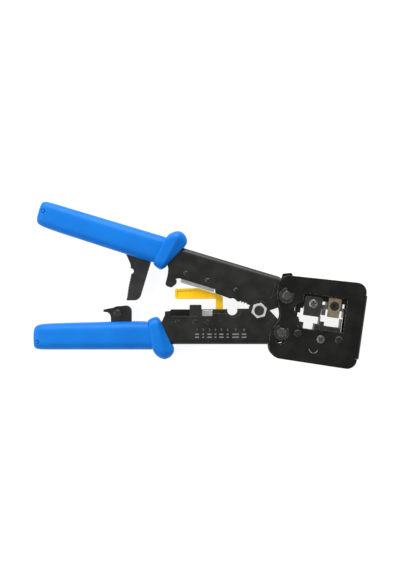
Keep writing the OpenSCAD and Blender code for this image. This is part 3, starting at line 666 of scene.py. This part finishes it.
# ---- rivets -----------------------------------------------------------------------------------------
# Black steel rivets with low domed heads. Two clamp the nests between the head's flaps, and three in each
# arm hold the stripping blades against the front wall.
RIVET_SIZES = {
    "Shank Radius": "Float", "Shank Length": "Float", "Shank Middle": "Vector", "Head Radius": "Float",
    "Crown Radius": "Float", "Head Height": "Float", "Head Seat": "Vector", "Back Seat": "Vector",
}
CROWN_SHARE = 0.8
RIVET_SIDES = 32


def rivet_tree(name, material, back_heads):
    tree, sizes = make_tree(name, RIVET_SIZES)
    size = sizes.outputs
    shank = add_node(
        tree, "GeometryNodeMeshCylinder", Vertices=RIVET_SIDES, Radius=size["Shank Radius"],
        Depth=size["Shank Length"],
    )
    stood = add_node(
        tree, "GeometryNodeTransform", Geometry=shank.outputs[0], Translation=size["Shank Middle"],
    )
    dome = add_node(
        tree, "GeometryNodeMeshCone", Vertices=RIVET_SIDES, Radius_Top=size["Crown Radius"],
        Radius_Bottom=size["Head Radius"], Depth=size["Head Height"],
    )
    front = add_node(tree, "GeometryNodeTransform", Geometry=dome.outputs[0], Translation=size["Head Seat"])
    parts = [stood, front]
    if back_heads:
        parts.append(add_node(
            tree, "GeometryNodeTransform", Geometry=dome.outputs[0], Translation=size["Back Seat"],
            Rotation=(math.pi, 0, 0),
        ))
    joined = tree.nodes.new("GeometryNodeJoinGeometry")
    for part in parts:
        tree.links.new(part.outputs[0], joined.inputs[0])
    placed = add_node(
        tree, "GeometryNodeInstanceOnPoints", Points=size["Geometry"], Instance=joined.outputs[0],
    )
    close_tree(tree, placed.outputs[0], material)
    return tree


def make_rivets(name, node, body, place, spots, tree, shank_r, back, seat, head_r, head_h):
    rivets = grow(name, [(x, y, 0) for x, y in spots], tree, {
        "Shank Radius": shank_r, "Shank Length": seat - back,
        "Shank Middle": Vector((0, 0, (seat + back) / 2)),
        "Head Radius": head_r, "Crown Radius": head_r * CROWN_SHARE, "Head Height": head_h,
        "Head Seat": Vector((0, 0, seat)), "Back Seat": Vector((0, 0, back)),
    })
    rivets.data.transform(place)
    smooth_faces(rivets, 35)
    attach(rivets, body)
    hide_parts(node)


rivet_black = finish(
    "rivet_black", (0.010, 0.010, 0.010), (0.018, 0.018, 0.017), 0.34, metallic=0.3, patch=1.2 * MM,
    bump=0.01 * MM, rounding=0.45 * MM, worn=(0.34, 0.34, 0.31), worn_share=1.0,
)
through_rivet = rivet_tree("through_rivet", rivet_black, True)
wall_rivet = rivet_tree("wall_rivet", rivet_black, False)
make_rivets(
    "nest_rivet_pair", "nest_rivets", "housing", HEAD, [(9.9, -10.7), (35.4, -11.1)], through_rivet,
    shank_r=1.4, back=-11.2, seat=11.2, head_r=2.4, head_h=0.4,
)
make_rivets(
    "upper_wall_rivets", "upper_blade_rivets", "upper_arm", UPPER,
    [(-49.7, 9), (-35.6, 8.6), (-17.2, 8)], wall_rivet,
    shank_r=1.25, back=4.0, seat=7.0, head_r=1.45, head_h=0.12,
)
make_rivets(
    "lower_wall_rivets", "lower_blade_rivets", "lower_arm", LOWER,
    [(-50.1, -7), (-39.3, -7), (-31.8, -7)], wall_rivet,
    shank_r=1.25, back=6.8, seat=9.0, head_r=1.45, head_h=0.24,
)

# ---- nests ------------------------------------------------------------------------------------------
# Two milled steel blocks between the head's flaps, which hold a plug while it is crimped. They are blackened
# and show a little bright metal at their edges.
nest_steel = finish(
    "nest_steel", (0.014, 0.014, 0.014), (0.026, 0.026, 0.026), 0.42, metallic=0.3, worn=(0.42, 0.42, 0.41),
    rounding=0.3 * MM, worn_share=0.8,
)
dress(["nest_8p", "nest_6p"], nest_steel)

# ---- ratchet ----------------------------------------------------------------------------------------
# A toothed steel rack hangs from the upper arm, and a pawl on a riveted bracket in the lower arm faces it.
# All are stamped and blackened. A small coil at each side of the pawl presses it to the teeth.
stamped_black = finish(
    "stamped_black", (0.016, 0.016, 0.016), (0.030, 0.030, 0.029), 0.40, metallic=0.2, patch=5 * MM,
    bump=0.014 * MM, rounding=0.3 * MM, worn=(0.20, 0.20, 0.19), worn_share=0.8,
)
dress(["ratchet_rack"], stamped_black)
dress(["pawl_bracket", "pawl"], black_coat)
dress(["rack_rivets", "bracket_rivets"], rivet_black)
dress(["pawl_rivet"], clip_steel)
pawl_place = LOWER @ Matrix.Translation((-87.05, -1.76, 0))
COIL_NEAR = 1.95
COIL_FAR = 3.0
both_coils = bmesh.new()
for name, bottom, top in (("pawl_coils", COIL_NEAR, COIL_FAR), ("back_coil", -COIL_FAR, -COIL_NEAR)):
    coil = grow(name, [], wound_wire, spring_sizes(
        turn_r=2.35, wire_r=0.34, whole_turns=1, bottom=bottom, top=top,
        first=(pawl_place, (-0.35, -0.937), 2.6), last=(pawl_place, (-0.94, 0.34), 2.2),
    ))
    both_coils.from_mesh(coil.data)
bpy.data.objects.remove(coil)
pawl_coils = bpy.data.objects["pawl_coils"]
both_coils.to_mesh(pawl_coils.data)
both_coils.free()
smooth_faces(pawl_coils, 40)
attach(pawl_coils, "lower_arm")
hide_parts("pawl_spring")

# ---- stripping parts --------------------------------------------------------------------------------
# A moulded yellow guard swings over the blades on a pin in a black block. A black slider sets the stripped
# length. The blades are ground steel, and a pad of brown fibre sits in the upper arm's foot.
yellow_plastic = finish(
    "yellow_plastic", (0.96, 0.56, 0.0), (1.0, 0.63, 0.003), 0.32, specular=0.4, patch=9 * MM, grain=0.8 * MM,
    bump=0.01 * MM, rounding=0.4 * MM,
)
black_plastic = finish(
    "black_plastic", (0.006, 0.006, 0.007), (0.011, 0.011, 0.011), 0.48, specular=0.4, bump=0.02 * MM,
    rounding=0.3 * MM, worn=(0.05, 0.05, 0.05),
)
brown_pad = finish(
    "brown_pad", (0.10, 0.07, 0.045), (0.16, 0.12, 0.08), 0.7, specular=0.2, bump=0.04 * MM,
)
dress(["blade_guard"], yellow_plastic)
dress(["guard_block", "length_stop"], black_plastic)
dress(["guard_pin"], black_coat)
dress(["upper_strip_blade", "lower_strip_blade"], ground_steel)
dress(["cable_blade"], satin_blade)
dress(["stop_pad"], brown_pad)

# ---- printed chart ----------------------------------------------------------------------------------
# Pale ink on the lower arm's front: eight numbered columns, with two rows of plain dashes under them, and a
# small mark of two arcs on the head. The ink stands a few hundredths of a millimetre proud.
pale_ink = finish(
    "pale_ink", (0.17, 0.17, 0.155), (0.24, 0.24, 0.22), 0.6, specular=0.2, patch=1.0 * MM, bump=0.004 * MM,
    rounding=0.01 * MM,
)
COLUMNS = [
    (-38.1, 2.6), (-34.3, 1.2), (-30.4, 2.8), (-26.8, 1.2),
    (-23.2, 2.8), (-19.3, 1.3), (-14.4, 4.1), (-9.3, 2.9),
]
NUMBER_BASELINE = -12.5
NUMBER_SIZE = 2.0
DASH_ROWS = (-14.55, -16.4)
INK_SEAT = 9.0
INK_HEIGHT = 0.05
INK_MIDDLE = INK_SEAT + INK_HEIGHT / 2
DASH_SIZES = {"Dash Height": "Float", "Ink Height": "Float", "Ragged": "Float", "Seed": "Int"}


def dash_tree(material):
    """Each point becomes a flat dash, as long as the point says, less a small random loss."""
    tree, sizes = make_tree("ink_dashes", DASH_SIZES)
    size = sizes.outputs

    def work_out(operation, first, other):
        maths = add_node(tree, "ShaderNodeMath", {"operation": operation})
        tree.links.new(first, maths.inputs[0])
        tree.links.new(other, maths.inputs[1])
        return maths.outputs[0]

    block = add_node(tree, "GeometryNodeMeshCube")
    full = add_node(tree, "GeometryNodeInputNamedAttribute", {"data_type": "FLOAT"}, Name="dash_length")
    uneven = add_node(tree, "FunctionNodeRandomValue", {"data_type": "FLOAT"}, Seed=size["Seed"])
    left = work_out("SUBTRACT", full.outputs[0], work_out("MULTIPLY", uneven.outputs[1], size["Ragged"]))
    scale = add_node(tree, "ShaderNodeCombineXYZ", X=left, Y=size["Dash Height"], Z=size["Ink Height"])
    placed = add_node(
        tree, "GeometryNodeInstanceOnPoints", Points=size["Geometry"], Instance=block.outputs[0],
        Scale=scale.outputs[0],
    )
    close_tree(tree, placed.outputs[0], material)
    return tree


wire_chart = grow(
    "wire_chart", [(x, y, INK_MIDDLE) for y in DASH_ROWS for x, _ in COLUMNS], dash_tree(pale_ink),
    {"Dash Height": 0.8, "Ink Height": INK_HEIGHT, "Ragged": 0.25, "Seed": 4},
    {"dash_length": [length for _ in DASH_ROWS for _, length in COLUMNS]},
)
print_run = bmesh.new()
print_run.from_mesh(wire_chart.data)
for number, (x, _) in enumerate(COLUMNS, start=1):
    digit_curve = bpy.data.curves.new("digit", "FONT")
    digit_curve.body = str(number)
    digit_curve.size = NUMBER_SIZE
    digit_curve.align_x = "CENTER"
    digit_curve.extrude = INK_HEIGHT / 2
    digit = bpy.data.objects.new("digit", digit_curve)
    collection.objects.link(digit)
    bpy.context.view_layer.update()
    digit_mesh = bpy.data.meshes.new_from_object(digit.evaluated_get(bpy.context.evaluated_depsgraph_get()))
    digit_mesh.transform(Matrix.Translation((x, NUMBER_BASELINE, INK_MIDDLE)))
    print_run.from_mesh(digit_mesh)
    bpy.data.objects.remove(digit)
print_run.to_mesh(wire_chart.data)
print_run.free()
wire_chart.data.transform(LOWER)
give_material(wire_chart, pale_ink)
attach(wire_chart, "lower_arm")

HEAD_FRONT = 11.2
ARC_CENTRE = (36.2 - HEAD_AT, -18.6)
ARC_RADII = (2.35, 2.85)
ARC_STEPS = 12
arcs = bmesh.new()
for first, last in ((188, 262), (278, 352)):
    angles = [math.radians(first + (last - first) * step / ARC_STEPS) for step in range(ARC_STEPS + 1)]
    low_in, low_out, high_in, high_out = [
        arc_row(arcs, ARC_CENTRE, radius, height, angles)
        for height in (HEAD_FRONT, HEAD_FRONT + INK_HEIGHT) for radius in ARC_RADII
    ]
    for one, other in ((low_in, low_out), (low_out, high_out), (high_out, high_in), (high_in, low_in)):
        bridge(arcs, one, other, ARC_STEPS)
    for tip in (0, -1):
        arcs.faces.new((low_in[tip], low_out[tip], high_out[tip], high_in[tip]))
arc_mark = make_piece("arc_mark", arcs)
arc_mark.data.transform(HEAD)
arc_mark.data.materials.append(pale_ink)
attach(arc_mark, "housing")
